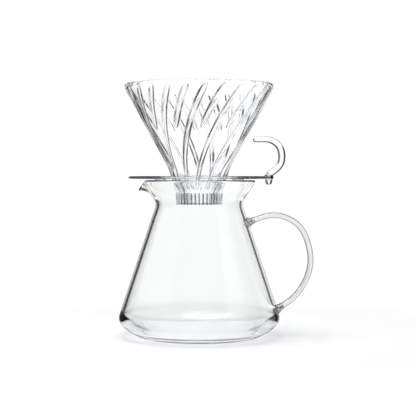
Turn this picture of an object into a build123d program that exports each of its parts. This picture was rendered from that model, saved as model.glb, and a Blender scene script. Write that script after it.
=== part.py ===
"""Pour-over coffee maker: a ribbed glass dripper cone held in a clear moulded base, standing on a
blown glass server with a pulled lip and a fused strap handle.

Frame: millimetres, +Z up, origin at the centre of the server's foot on the table.
+X points to both handles, -X to the server's pouring lip.
"""
from build123d import *

import math
import os

os.makedirs("parts", exist_ok=True)

# ---------------------------------------------------------------- server dimensions
WALL = 2.4                        # blown wall
WALL_ACROSS = WALL * 1.05         # the sloping body wall, measured horizontally
FLOOR = 3.0                       # floor thickness
FOOT_R = 45.0                     # flat foot
HEEL_R, HEEL_Z = 62.15, 17.0      # start of the straight body wall
HEEL_IN_Z = 18.6                  # the same on the inside
BODY_TOP_Z = 90.0                 # end of the straight body wall
NECK_R, NECK_Z = 34.0, 103.0      # waist
WALL_SLOPE = 0.333                # radius lost per mm of height on the body
RIM_TOP_Z = 121.58                # top of the mouth
SPOUT_HALF_DEG = 18.0             # half width of the pulled lip
LIP_STEPS = 8                     # steps between wall sections across the lip
ENVELOPE_TOP_Z = 99.0             # top of the solid that trims the welds

# outline points (radius, z); those inside run from the rim down to the waist
HEEL_ARC = [(60.45, 9.4), (62.35, 12.97), (HEEL_R, HEEL_Z)]
NECK_OUT = [(NECK_R, NECK_Z), (34.9, 106.2), (38.6, 112.0), (43.7, 120.2)]
NECK_IN = [(41.5, 120.7), (36.3, 112.5), (32.4, 106.6), (NECK_R - WALL, NECK_Z)]
RIM_MID = (42.8, RIM_TOP_Z - 0.06)
LIP_OUT = [(NECK_R, NECK_Z), (36.1, 107.7), (40.1, 112.0), (46.4, 113.1)]
LIP_IN = [(46.2, 115.0), (38.6, 114.2), (33.8, 108.7), (NECK_R - WALL, NECK_Z)]
LIP_MID = (47.2, 114.05)

# strap handle: thickness in its own plane, depth across it
STRAP_T, STRAP_D = 4.7, 9.0
# centre line (x, z), from the upper end to the lower
STRAP_PATH = [
    (43.2, 90.6), (50.6, 93.2), (60.0, 94.2), (69.2, 91.8), (77.9, 85.8), (83.5, 76.5),
    (86.1, 67.1), (86.9, 58.5), (84.7, 47.5), (80.2, 38.3), (74.4, 30.8), (69.8, 26.8),
    (65.6, 24.0),
]
# welds: growth of the half thickness and half depth, and distance run on past the strap's ends
WELD_GROW_T = 1.9
WELD_GROW_D = WELD_GROW_T * 0.7
UPPER_WELD_REACH, LOWER_WELD_REACH = 7.8, 9.0
# share of the reach, share of the growth
WELD_STATIONS = [(0.0, 0.0), (0.35, 0.30), (0.70, 0.80), (1.0, 1.0)]

# ---------------------------------------------------------------- cone dimensions
CONE_RIM_R, CONE_TOP_Z = 58.0, 196.0
OUTLET_R = 11.0
NECK_OUT_R = 14.0                 # straight glass neck
NECK_TIP_Z = 102.9
TIP_ROUND, TIP_ROUND_MID = 0.6, 0.18  # rounding of the neck's tip, and inset of its mid point
CONE_OUT_SLOPE, CONE_IN_SLOPE = 0.5517, 0.5502  # radius gained per mm of height

# outline points (radius, z): curved from the neck up, then straight to the top point
CONE_OUT = [
    (NECK_OUT_R, 110.0), (14.9, 112.2), (18.3, 117.6), (21.7, 123.6), (23.8, 129.5),
    (27.7, 137.2),
]
CONE_OUT_TOP = (57.6, 191.4)
CONE_IN = [
    (OUTLET_R, 110.0), (11.6, 112.8), (15.2, 118.6), (18.3, 123.6), (20.7, 129.5),
    (24.8, 137.2),
]
CONE_IN_TOP = (48.35, 180.0)

RIBS = 12                         # long ribs, and as many short ones between them
RIB_PHASE, RIB_PHASE_Z = -117.4, 133.0  # azimuth of a long rib at this height
RIB_TWIST = 0.545                 # degrees per mm of height
RIB_INSET = 0.45                  # rib centre outwards of the inner wall
RIB_HALF_DEPTH = 1.75             # radial
RIB_HALF_WIDTH, RIB_WIDTH_Z = 1.25, 113.0  # across the rib, at this height
RIB_WIDENING = 0.0225             # half width gained per mm of height
# rib stations (z, scale of the section)
RIB_TOP_LEVELS = [(188.0, 0.97), (191.6, 0.82), (193.2, 0.55)]
LONG_LEVELS = [
    (114.5, 0.75), (119.0, 0.9), (124.0, 1.0), (130.5, 1.0), (138.0, 1.0), (150.0, 1.0),
    (163.0, 1.0), (176.0, 1.0), *RIB_TOP_LEVELS,
]
SHORT_LEVELS = [
    (161.0, 0.45), (162.6, 0.72), (165.6, 0.93), (171.0, 1.0), (178.0, 1.0), *RIB_TOP_LEVELS,
]

# ---------------------------------------------------------------- dripper base dimensions
PLATE_R, PLATE_Z0, PLATE_Z1 = 55.2, 122.45, 124.75
PLATE_FLAT_R = PLATE_R - 2.6      # where the rounded edge starts
COLLAR_TOP_Z = PLATE_Z1 + 0.8
COLLAR_BOT_Z = 111.4              # shoulder over the lock ring
SPIGOT_BOT_Z = 104.6              # end of the threaded spigot
SPIGOT_R = 15.2                   # thread root on the spigot
SEAT_GAP = 0.05                   # glass to collar, radial
EAR_TOP_Z = PLATE_Z1 + 0.5        # under the hooked handle's shoulder
PAD_R, PADS = 42.4, 4             # rest pads on the server's mouth
PAD_LENGTH, PAD_WIDTH = 9.0, 3.2

# hooked handle: stem in the plate and split peg
STEM_X, STEM_R = 54.2, 2.6
PEG_SLOT = 0.7
TIP_BALL_R, KNUCKLE_BALL_R = 2.27, 2.72
# centre line (x, z), from the free tip to the stem
HOOK_PATH = [
    (43.9, 153.1), (49.9, 153.3), (54.7, 152.9), (59.2, 150.9), (62.6, 147.2), (64.1, 142.9),
    (64.3, 138.6), (63.3, 134.4), (60.7, 130.8), (57.6, 128.3), (55.0, 126.4),
]
# share of the centre line, radius
HOOK_STATIONS = [
    (0.0, 2.2), (0.12, 2.35), (0.28, 2.6), (0.42, 2.85), (0.56, 2.95), (0.70, 2.9),
    (0.84, 2.8), (1.0, 2.6),
]

# gasket
GASKET_TOP_Z, GASKET_BOT_Z = SPIGOT_BOT_Z - 0.02, 103.72
GASKET_IN_R, GASKET_OUT_R = NECK_OUT_R + 0.04, 15.6

# lock ring
RING_TOP_Z, RING_BOT_Z = 111.3, 102.6
RING_FLOOR_Z = 103.7              # upper face of the inward flange
RING_R = 17.7                     # under the knurls
RING_BORE_R = 16.35
RING_HOLE_R = NECK_OUT_R + 0.35   # round the glass neck
KNURLS, KNURL_R = 36, 0.75
# knurl tiers: pitch circle radius, bottom z, top z
KNURL_TIERS = [
    (RING_R - 0.05, 106.4, RING_TOP_Z - 0.3),
    (RING_R - 0.35, RING_BOT_Z + 0.4, 106.0),
]

# threads
THREAD_PITCH, THREAD_HEIGHT = 2.0, 4.0
THREAD_Z = 105.4                  # start of the spigot's thread
# tooth section (outwards from the cylinder, along it)
THREAD_TOOTH = [(-0.25, -0.50), (0.62, -0.22), (0.62, 0.22), (-0.25, 0.50)]


# ---------------------------------------------------------------- server body
def server_out(z):
    """Outer point of the server on its straight wall."""
    return (HEEL_R - WALL_SLOPE * (z - HEEL_Z), z)


def server_in(z):
    """Inner point of the server on its straight wall."""
    return (server_out(z)[0] - WALL_ACROSS, z)


def radial_plane(azimuth):
    """Half plane through +Z at this azimuth: local x runs outwards and local y up."""
    angle = math.radians(azimuth)
    return Plane(origin=(0, 0, 0), x_dir=(math.cos(angle), math.sin(angle), 0),
                 z_dir=(math.sin(angle), -math.cos(angle), 0))


def draw_mouth_wall(lip_share):
    """Draw the mouth's wall in the open BuildLine; share 0 is the round rim, 1 the lip's tip."""
    def mix(rim_point, lip_point):
        return tuple((1 - lip_share) * a + lip_share * b for a, b in zip(rim_point, lip_point))

    outer = [mix(a, b) for a, b in zip(NECK_OUT, LIP_OUT)]
    inner = [mix(a, b) for a, b in zip(NECK_IN, LIP_IN)]
    Spline(*outer)
    ThreePointArc(outer[-1], mix(RIM_MID, LIP_MID), inner[0])
    Spline(*inner)
    Line(inner[-1], outer[0])


def build_server_body():
    """Blown bowl with a round mouth and the pulled lip."""
    foot_top = (48.6, 1.2)
    waist_out, waist_in = (NECK_R, NECK_Z), (NECK_R - WALL, NECK_Z)
    body_top_out, body_top_in = server_out(BODY_TOP_Z), server_in(BODY_TOP_Z)
    heel_in_top, heel_in_bottom = server_in(HEEL_IN_Z), (56.5, 10.7)
    floor_edge = (43.0, FLOOR)

    with BuildPart() as shell:
        # bowl from the foot up to the waist
        with BuildSketch(Plane.XZ):
            with BuildLine():
                Line((0, 0), (FOOT_R, 0))
                ThreePointArc((FOOT_R, 0), (46.9, 0.35), foot_top)
                Spline(foot_top, (55.2, 4.7), HEEL_ARC[0], tangents=((1.0, 0.5), (0.69, 0.724)))
                ThreePointArc(*HEEL_ARC)
                Line(HEEL_ARC[2], body_top_out)
                Spline(body_top_out, (35.0, 98.0), waist_out,
                       tangents=((-WALL_SLOPE, 1.0), (0.0, 1.0)))
                Line(waist_out, waist_in)
                Spline(waist_in, (32.55, 98.0), body_top_in,
                       tangents=((0.0, -1.0), (WALL_SLOPE, -1.0)))
                Line(body_top_in, heel_in_top)
                ThreePointArc(heel_in_top, (58.75, 14.0), heel_in_bottom)
                Spline(heel_in_bottom, (50.8, 6.1), floor_edge,
                       tangents=((-0.70, -0.66), (-1.0, 0.0)))
                Line(floor_edge, (0, FLOOR))
                Line((0, FLOOR), (0, 0))
            make_face()
        revolve(axis=Axis.Z)
        # round mouth, everywhere but the lip
        with BuildSketch(radial_plane(180 + SPOUT_HALF_DEG)):
            with BuildLine():
                draw_mouth_wall(0.0)
            make_face()
        revolve(axis=Axis.Z, revolution_arc=360 - 2 * SPOUT_HALF_DEG)

    # pulled lip: wall sections that swing round the axis
    with BuildPart() as lip:
        for k in range(LIP_STEPS + 1):
            swing = -SPOUT_HALF_DEG + k * 2 * SPOUT_HALF_DEG / LIP_STEPS
            with BuildSketch(radial_plane(180 + swing)):
                with BuildLine():
                    draw_mouth_wall(math.cos(math.pi / 2 * swing / SPOUT_HALF_DEG) ** 2)
                make_face()
        loft()

    # the lip meets the mouth on the same surfaces, so they are joined with a small tolerance
    shell_with_lip = shell.part.fuse(lip.part, tol=1e-4)
    with BuildPart() as body:
        add(shell_with_lip)
    return body.part


# ---------------------------------------------------------------- server strap handle
def build_server_handle():
    """Elliptical strap; returns the part and its centre line."""
    with BuildPart() as handle:
        with BuildLine():
            strap = Spline(*[(x, 0, z) for x, z in STRAP_PATH])
        with BuildSketch(Plane(origin=strap @ 0, x_dir=(0, 1, 0), z_dir=strap % 0)):
            Ellipse(STRAP_D / 2, STRAP_T / 2)
        sweep(path=strap)
    return handle.part, strap


def build_bowl_envelope():
    """Solid outer form of the bowl, used to seat the welds against the wall."""
    with BuildPart() as envelope:
        with BuildSketch(Plane.XZ):
            with BuildLine():
                Line((0, HEEL_ARC[0][1]), HEEL_ARC[0])
                ThreePointArc(*HEEL_ARC)
                Polyline(HEEL_ARC[2], server_out(ENVELOPE_TOP_Z), (0, ENVELOPE_TOP_Z),
                         (0, HEEL_ARC[0][1]))
            make_face()
        revolve(axis=Axis.Z)
    return envelope.part


def build_weld(start, direction, reach, envelope):
    """Fused glass gather that widens from the strap's end towards the wall."""
    with BuildPart() as weld:
        for along, growth in WELD_STATIONS:
            centre = start + direction * (reach * along)
            with BuildSketch(Plane(origin=centre, x_dir=(0, 1, 0), z_dir=direction)):
                Ellipse(STRAP_D / 2 + WELD_GROW_D * growth, STRAP_T / 2 + WELD_GROW_T * growth)
        loft()
        add(envelope, mode=Mode.SUBTRACT)
    return weld.part


# ---------------------------------------------------------------- glass cone
def cone_inner_radius(z):
    """Inner radius between the outline points; the last slope carries on above them."""
    outline = [*CONE_IN, CONE_IN_TOP]
    for (low_r, low_z), (high_r, high_z) in zip(outline, outline[1:]):
        if z <= high_z:
            break
    return low_r + (high_r - low_r) * (z - low_z) / (high_z - low_z)


def build_rib(levels, azimuth_shift):
    """One twisted rib on the inner wall, lofted through level ellipses."""
    with BuildPart() as rib:
        for z, scale_here in levels:
            radius = cone_inner_radius(z) + RIB_INSET
            azimuth = RIB_PHASE + RIB_TWIST * (z - RIB_PHASE_Z) + azimuth_shift
            out_x, out_y = math.cos(math.radians(azimuth)), math.sin(math.radians(azimuth))
            half_width = RIB_HALF_WIDTH + RIB_WIDENING * (z - RIB_WIDTH_Z)
            with BuildSketch(Plane(origin=(radius * out_x, radius * out_y, z),
                                   x_dir=(out_x, out_y, 0), z_dir=(0, 0, 1))):
                Ellipse(RIB_HALF_DEPTH * scale_here, half_width * scale_here)
        loft()
    return rib.part


def build_dripper_cone():
    """Glass cone with a straight neck, a rounded rim and ribs inside."""
    long_rib = build_rib(LONG_LEVELS, 0.0)
    short_rib = build_rib(SHORT_LEVELS, 180.0 / RIBS)
    tip_out, tip_in = (NECK_OUT_R - TIP_ROUND, NECK_TIP_Z), (OUTLET_R + TIP_ROUND, NECK_TIP_Z)
    side_out, side_in = (NECK_OUT_R, NECK_TIP_Z + TIP_ROUND), (OUTLET_R, NECK_TIP_Z + TIP_ROUND)
    round_mid_z = NECK_TIP_Z + TIP_ROUND_MID
    rim_out, rim_in = (57.9, 195.0), (55.5, 195.1)

    with BuildPart() as cone:
        with BuildSketch(Plane.XZ):
            with BuildLine():
                Line(tip_in, tip_out)
                ThreePointArc(tip_out, (NECK_OUT_R - TIP_ROUND_MID, round_mid_z), side_out)
                Line(side_out, CONE_OUT[0])
                Spline(*CONE_OUT, tangents=((0.0, 1.0), (CONE_OUT_SLOPE, 1.0)))
                Line(CONE_OUT[-1], CONE_OUT_TOP)
                Spline(CONE_OUT_TOP, (CONE_RIM_R, 193.2), rim_out,
                       tangents=((CONE_OUT_SLOPE, 1.0), (-0.12, 1.0)))
                ThreePointArc(rim_out, (56.75, CONE_TOP_Z), rim_in)
                Polyline(rim_in, (54.0, 190.6), (48.65, 180.6), CONE_IN_TOP, CONE_IN[-1])
                Spline(*CONE_IN[::-1], tangents=((-CONE_IN_SLOPE, -1.0), (0.0, -1.0)))
                Line(CONE_IN[0], side_in)
                ThreePointArc(side_in, (OUTLET_R + TIP_ROUND_MID, round_mid_z), tip_in)
            make_face()
        revolve(axis=Axis.Z)
        with PolarLocations(0, RIBS):
            add(long_rib)
        with PolarLocations(0, RIBS):
            add(short_rib)
    return cone.part


# ---------------------------------------------------------------- threads
def build_thread(radius, outward, z_start):
    """Tapered thread ridge on a cylinder, pointing outwards (1) or inwards (-1)."""
    with BuildPart(mode=Mode.PRIVATE) as ridge:
        with BuildLine(mode=Mode.PRIVATE):
            path = Helix(THREAD_PITCH, THREAD_HEIGHT, radius, center=(0, 0, z_start))
        with BuildSketch(Plane(origin=path @ 0, x_dir=(outward, 0, 0), z_dir=path % 0)):
            Polygon(*THREAD_TOOTH, align=None)
        sweep(path=path, is_frenet=True)
    return ridge.part


# ---------------------------------------------------------------- base plate with collar
def build_base_plate():
    """Round plate with a collar, a threaded spigot, rest pads and an ear for the handle."""
    thread = build_thread(SPIGOT_R, 1, THREAD_Z)
    bore_r = NECK_OUT_R + SEAT_GAP
    collar_side, plate_under = (21.4, PLATE_Z0 - 0.6), (22.3, PLATE_Z0)
    edge_bottom, edge_top = (PLATE_FLAT_R, PLATE_Z0), (PLATE_FLAT_R, PLATE_Z1)
    plate_upper, collar_top = (24.6, PLATE_Z1), (23.9, COLLAR_TOP_Z)
    seat_curve = [(radius + SEAT_GAP, z) for radius, z in CONE_OUT]
    seat_top_z = CONE_OUT[-1][1]

    with BuildPart() as plate:
        with BuildSketch(Plane.XZ):
            with BuildLine():
                Polyline((SPIGOT_R, SPIGOT_BOT_Z), (SPIGOT_R, COLLAR_BOT_Z),
                         (18.3, COLLAR_BOT_Z), collar_side)
                ThreePointArc(collar_side, (21.7, PLATE_Z0 - 0.15), plate_under)
                Line(plate_under, edge_bottom)
                Spline(edge_bottom, (PLATE_R - 0.55, PLATE_Z0 + 0.42),
                       (PLATE_R, (PLATE_Z0 + PLATE_Z1) / 2),
                       (PLATE_R - 0.55, PLATE_Z1 - 0.42), edge_top, tangents=((1, 0), (-1, 0)))
                Line(edge_top, plate_upper)
                ThreePointArc(plate_upper, (24.1, PLATE_Z1 + 0.25), collar_top)
                Polyline(collar_top, (22.55 + SEAT_GAP, COLLAR_TOP_Z), (bore_r, 117.0),
                         (bore_r, SPIGOT_BOT_Z), (SPIGOT_R, SPIGOT_BOT_Z))
            make_face()
        revolve(axis=Axis.Z)
        # tapered seat that follows the glass at a small gap
        with BuildSketch(Plane.XZ):
            with BuildLine():
                Polyline((0, 109.0), (bore_r, 109.0), seat_curve[0])
                Spline(*seat_curve, tangents=((0.0, 1.0), (CONE_OUT_SLOPE, 1.0)))
                Polyline(seat_curve[-1], (0, seat_top_z), (0, 109.0))
            make_face()
        revolve(axis=Axis.Z, mode=Mode.SUBTRACT)
        # ear round the handle's stem
        with BuildSketch(Plane.XY.offset(PLATE_Z0)):
            with Locations((STEM_X - 0.2, 0)):
                Circle(STEM_R + 1.3)
        extrude(amount=EAR_TOP_Z - PLATE_Z0)
        # rest pads that stand on the server's mouth
        with BuildSketch(Plane.XY.offset(RIM_TOP_Z + 0.02)):
            with PolarLocations(PAD_R, PADS, start_angle=45):
                SlotOverall(PAD_LENGTH, PAD_WIDTH)
        extrude(amount=PLATE_Z0 - RIM_TOP_Z + 0.2)
        # through hole for the stem
        with BuildSketch(Plane.XY.offset(PLATE_Z0 - 1)):
            with Locations((STEM_X, 0)):
                Circle(STEM_R + 0.02)
        extrude(amount=5, mode=Mode.SUBTRACT)
        add(thread)
    return plate.part


# ---------------------------------------------------------------- hooked handle
def build_dripper_handle():
    """Hook of varying thickness on a stem, with a split snap peg below the plate."""
    peg_side = (STEM_R + 0.1, PLATE_Z0 - 2.6)
    peg_tip = (0, PLATE_Z0 - 4.7)
    stem_top_z = EAR_TOP_Z + 0.4

    with BuildPart() as handle:
        with BuildLine():
            hook = Spline(*[(x, 0, z) for x, z in HOOK_PATH],
                          tangents=((1, 0, 0), (-0.80, 0, -0.60)))
        for along, radius in HOOK_STATIONS:
            with BuildSketch(Plane(origin=hook @ along, x_dir=(0, 1, 0), z_dir=hook % along)):
                Circle(radius)
        loft()
        # rounded free tip, and the knuckle over the stem
        with Locations(hook @ 0):
            Sphere(TIP_BALL_R)
        with Locations(hook @ 1):
            Sphere(KNUCKLE_BALL_R)
        # shoulder on the ear
        with BuildSketch(Plane.XY.offset(EAR_TOP_Z)):
            with Locations((STEM_X, 0)):
                Circle(STEM_R + 0.35)
        extrude(amount=1.0)
        # nothing but the stem goes below the ear's top
        with BuildSketch(Plane.XY.offset(EAR_TOP_Z - 4)):
            with Locations((STEM_X, 0)):
                Circle(9)
        extrude(amount=4, mode=Mode.SUBTRACT)
        # stem through the plate and snap peg below it
        with BuildSketch(Plane(origin=(STEM_X, 0, 0), x_dir=(1, 0, 0), z_dir=(0, -1, 0))):
            with BuildLine():
                Polyline((0, stem_top_z), (STEM_R, stem_top_z), (STEM_R, PLATE_Z0),
                         (STEM_R + 0.35, PLATE_Z0 - 0.5), peg_side)
                ThreePointArc(peg_side, (STEM_R * 0.74, PLATE_Z0 - 4.1), peg_tip)
                Line(peg_tip, (0, stem_top_z))
            make_face()
        revolve(axis=Axis((STEM_X, 0, 0), (0, 0, 1)))
        # slot that splits the peg
        with BuildSketch(Plane.XY.offset(PLATE_Z0 - 5)):
            with Locations((STEM_X, 0)):
                Rectangle(PEG_SLOT, 8)
        extrude(amount=4.7, mode=Mode.SUBTRACT)
    return handle.part


# ---------------------------------------------------------------- gasket and lock ring
def build_neck_gasket():
    """Flat ring round the glass neck, under the spigot, with its upper edges rounded."""
    with BuildPart() as gasket:
        with BuildSketch(Plane.XZ) as profile:
            with BuildLine():
                Polyline((GASKET_IN_R, GASKET_TOP_Z), (GASKET_OUT_R, GASKET_TOP_Z),
                         (GASKET_OUT_R, GASKET_BOT_Z), (GASKET_IN_R, GASKET_BOT_Z), close=True)
            make_face()
            fillet(profile.vertices().group_by(Axis.Y)[-1], 0.25)
        revolve(axis=Axis.Z)
    return gasket.part


def build_lock_ring():
    """Knurled ring with an inner thread and an inward flange at the bottom."""
    thread = build_thread(RING_BORE_R, -1, THREAD_Z + THREAD_PITCH / 2)
    with BuildPart() as ring:
        with BuildSketch(Plane.XZ):
            with BuildLine():
                Polyline((RING_BORE_R, RING_TOP_Z), (RING_R, RING_TOP_Z),
                         (RING_R - 0.5, RING_BOT_Z), (RING_HOLE_R, RING_BOT_Z),
                         (RING_HOLE_R, RING_FLOOR_Z), (RING_BORE_R, RING_FLOOR_Z), close=True)
            make_face()
        revolve(axis=Axis.Z)
        for pitch_r, bottom_z, top_z in KNURL_TIERS:
            with BuildSketch(Plane.XY.offset(bottom_z)):
                with PolarLocations(pitch_r, KNURLS):
                    Circle(KNURL_R)
            extrude(amount=top_z - bottom_z)
        add(thread)
    return ring.part


# ---------------------------------------------------------------- build and export
server_handle, strap_line = build_server_handle()
bowl_envelope = build_bowl_envelope()

pieces = {
    "server_body": build_server_body(),
    "server_handle": server_handle,
    "handle_upper_weld": build_weld(strap_line @ 0, -(strap_line % 0), UPPER_WELD_REACH,
                                    bowl_envelope),
    "handle_lower_weld": build_weld(strap_line @ 1, strap_line % 1, LOWER_WELD_REACH,
                                    bowl_envelope),
    "dripper_cone": build_dripper_cone(),
    "base_plate": build_base_plate(),
    "dripper_handle": build_dripper_handle(),
    "neck_gasket": build_neck_gasket(),
    "lock_ring": build_lock_ring(),
}
for name, piece in pieces.items():
    piece.label = name
    export_step(piece, f"parts/{name}.step")
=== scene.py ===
"""Glass coffee server with a glass dripper cone standing in its neck.

Everything turns about the Z axis and stands on z = 0. Both handles point to +X, the spout to -X, and the
camera looks along +Y. Shapes are drawn in millimetres and scaled to metres when a mesh is made; materials,
lights and the camera are in metres. Outlines are (radius or x, z) points.
"""
import math

import bmesh
import bpy
import numpy as np
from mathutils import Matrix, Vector


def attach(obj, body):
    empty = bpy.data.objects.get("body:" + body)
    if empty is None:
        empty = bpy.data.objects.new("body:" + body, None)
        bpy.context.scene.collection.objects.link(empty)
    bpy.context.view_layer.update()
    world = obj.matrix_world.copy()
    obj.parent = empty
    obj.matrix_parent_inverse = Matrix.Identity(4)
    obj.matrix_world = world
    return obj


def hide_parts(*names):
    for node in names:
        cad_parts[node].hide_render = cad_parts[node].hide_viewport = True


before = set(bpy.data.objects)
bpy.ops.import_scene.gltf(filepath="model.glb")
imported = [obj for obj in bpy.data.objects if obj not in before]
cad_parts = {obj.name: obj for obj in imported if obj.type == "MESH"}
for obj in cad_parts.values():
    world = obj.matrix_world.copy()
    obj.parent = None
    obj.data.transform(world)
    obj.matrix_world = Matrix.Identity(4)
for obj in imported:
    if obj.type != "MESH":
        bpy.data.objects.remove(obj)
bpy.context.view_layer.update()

MM = 0.001

# ------------------------------------------------------------------ dimensions shared between pieces
# server
WALL = 2.4
HEEL_RADIUS, HEEL_Z = 62.15, 17.0       # widest place, where the straight wall starts
HEEL_BOTTOM_Z = 9.4
HEEL_ARC = [(60.45, HEEL_BOTTOM_Z), (62.35, 12.97), (HEEL_RADIUS, HEEL_Z)]
WALL_SLOPE = 0.333                      # radius lost per height
RIM_TOP_Z = 121.58

# cone, from its cylindrical neck up to the start of the straight wall
NECK_TOP_Z = 110.0
FLARE_OUTSIDE = [(14.0, NECK_TOP_Z), (14.9, 112.2), (18.3, 117.6), (21.7, 123.6), (23.8, 129.5),
                 (27.7, 137.2)]
FLARE_INSIDE = [(11.0, NECK_TOP_Z), (11.6, 112.8), (15.2, 118.6), (18.3, 123.6), (20.7, 129.5),
                (24.8, 137.2)]
CONE_SLOPE = (0.5517, 1.0)              # direction of the straight outside wall

# base plate and the handle's stem
PLATE_BOTTOM, PLATE_TOP, PLATE_RADIUS = 122.45, 124.75, 55.2
SEAT_Z = PLATE_TOP + 0.5                # top of the ear, where the hooked handle sits
STEM_X, STEM_RADIUS = 54.2, 2.6

# screw thread between the plate's collar and the lock ring
THREAD_PITCH, THREAD_DEPTH = 2.0, 0.62
THREAD_START, THREAD_LENGTH = 105.4, 4.0
THREAD_ROWS = 60

KNURL_COUNT = 36                        # ribs round the lock ring


# ------------------------------------------------------------------ curves
def spline(points, count, start=None, end=None):
    """Cubic spline by chord length, count samples; an end is natural unless a direction is given."""
    points = np.array(points, float)
    step = np.sqrt(((points[1:] - points[:-1]) ** 2).sum(1))
    along = np.concatenate([[0], np.cumsum(step)])
    knots = len(points)
    system = np.zeros((knots, knots))
    right = np.zeros((knots, points.shape[1]))
    step = along[1:] - along[:-1]
    for i in range(1, knots - 1):
        before, after = step[i - 1], step[i]
        system[i, i - 1], system[i, i], system[i, i + 1] = after, 2 * (before + after), before
        right[i] = 3 * (after * (points[i] - points[i - 1]) / before
                        + before * (points[i + 1] - points[i]) / after)
    if start is None:
        system[0, 0], system[0, 1] = 2, 1
        right[0] = 3 * (points[1] - points[0]) / step[0]
    else:
        system[0, 0] = 1
        right[0] = np.array(start, float) / np.linalg.norm(start)
    if end is None:
        system[-1, -1], system[-1, -2] = 2, 1
        right[-1] = 3 * (points[-1] - points[-2]) / step[-1]
    else:
        system[-1, -1] = 1
        right[-1] = np.array(end, float) / np.linalg.norm(end)
    slope = np.linalg.solve(system, right)

    wanted = np.linspace(0, along[-1], count)
    span = np.clip(np.searchsorted(along, wanted, side="right") - 1, 0, knots - 2)
    length = step[span]
    t = ((wanted - along[span]) / length)[:, None]
    length = length[:, None]
    return ((2 * t**3 - 3 * t**2 + 1) * points[span]
            + (t**3 - 2 * t**2 + t) * length * slope[span]
            + (-2 * t**3 + 3 * t**2) * points[span + 1]
            + (t**3 - t**2) * length * slope[span + 1])


def arc(first, middle, last, count):
    """Circular arc through three points, count samples."""
    first, middle, last = (np.array(point, float) for point in (first, middle, last))
    (ax, az), (bx, bz), (cx, cz) = first, middle, last
    scale = 2 * (ax * (bz - cz) + bx * (cz - az) + cx * (az - bz))
    aa, bb, cc = first @ first, middle @ middle, last @ last
    centre = np.array([(aa * (bz - cz) + bb * (cz - az) + cc * (az - bz)) / scale,
                       (aa * (cx - bx) + bb * (ax - cx) + cc * (bx - ax)) / scale])
    radius = np.linalg.norm(first - centre)
    from_angle, via_angle, to_angle = (math.atan2(*(point - centre)[::-1])
                                       for point in (first, middle, last))
    full = 2 * math.pi
    if (via_angle - from_angle) % full <= (to_angle - from_angle) % full:
        sweep = (to_angle - from_angle) % full
    else:
        sweep = -((from_angle - to_angle) % full)
    angle = from_angle + np.linspace(0, 1, count) * sweep
    return np.stack([centre[0] + radius * np.cos(angle), centre[1] + radius * np.sin(angle)], 1)


def line(first, last, count=2):
    t = np.linspace(0, 1, count)[:, None]
    return np.array(first, float) * (1 - t) + np.array(last, float) * t


def join(*segments):
    """Chains segments, dropping the doubled point where two of them meet."""
    chain = [segments[0]]
    for segment in segments[1:]:
        meets = np.allclose(chain[-1][-1], segment[0], atol=1e-6)
        chain.append(segment[1:] if meets else segment)
    return np.concatenate(chain)


def unit(vector):
    return vector / np.linalg.norm(vector)


# ------------------------------------------------------------------ meshes
def new_object(name, verts, faces):
    """Smooth-shaded object from millimetre points, with its normals turned outward."""
    mesh = bpy.data.meshes.new(name)
    mesh.from_pydata([tuple(v) for v in np.asarray(verts, float) * MM], [], faces)
    mesh.validate()
    mesh.polygons.foreach_set("use_smooth", [True] * len(mesh.polygons))
    mesh.update()
    piece = bpy.data.objects.new(name, mesh)
    bpy.context.scene.collection.objects.link(piece)
    work = bmesh.new()
    work.from_mesh(mesh)
    bmesh.ops.recalc_face_normals(work, faces=work.faces)
    work.to_mesh(mesh)
    work.free()
    mesh.update()
    return piece


def grid_object(name, grid, closed, flip=False):
    """Skin over a grid (row, step round, xyz). Each row is a loop. The rows close on themselves if closed;
    otherwise a fan to a centre point shuts each end. flip reverses the winding of the faces."""
    rows, steps, _ = grid.shape
    verts = grid.reshape(-1, 3)
    faces = []
    for row in range(rows if closed else rows - 1):
        here, there = row * steps, (row + 1) % rows * steps
        for k in range(steps):
            following = (k + 1) % steps
            faces.append((here + k, there + k, there + following, here + following))
    if not closed:
        verts = np.concatenate([verts, [grid[0].mean(0)], [grid[-1].mean(0)]])
        first_pole, last_pole = len(verts) - 2, len(verts) - 1
        last_row = (rows - 1) * steps
        faces += [(first_pole, k, (k + 1) % steps) for k in range(steps)]
        faces += [(last_pole, last_row + (k + 1) % steps, last_row + k) for k in range(steps)]
    if flip:
        faces = [(face[0],) + face[:0:-1] for face in faces]
    return new_object(name, verts, faces)


def full_turn(steps):
    return np.arange(steps) * 2 * math.pi / steps


def revolve(radius, height, azimuth):
    """Grid of points round Z. Radius and height are columns or whole (row, azimuth) arrays."""
    return np.stack(np.broadcast_arrays(radius * np.cos(azimuth), radius * np.sin(azimuth), height), 2)


def lathe(name, outline, steps, closed=False, centre_x=0.0):
    outline = np.asarray(outline, float)
    grid = revolve(outline[:, :1], outline[:, 1:], full_turn(steps))
    return grid_object(name, grid + np.array([centre_x, 0, 0]), closed)


def tube(name, path, half_width, half_thickness, steps):
    """Elliptical rod along a path in the XZ plane; half_width is along Y."""
    path = np.asarray(path, float)
    tangent = np.gradient(path, axis=0)
    tangent /= np.linalg.norm(tangent, axis=1)[:, None]
    normal = np.stack([-tangent[:, 1], tangent[:, 0]], 1)
    half_width, half_thickness = (size * np.ones(len(path)) for size in (half_width, half_thickness))
    angle = full_turn(steps)
    off_path = half_thickness[:, None] * np.sin(angle)
    grid = np.zeros((len(path), steps, 3))
    grid[:, :, 0] = path[:, :1] + normal[:, :1] * off_path
    grid[:, :, 1] = half_width[:, None] * np.cos(angle)
    grid[:, :, 2] = path[:, 1:] + normal[:, 1:] * off_path
    return grid_object(name, grid, closed=False, flip=True)


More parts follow.
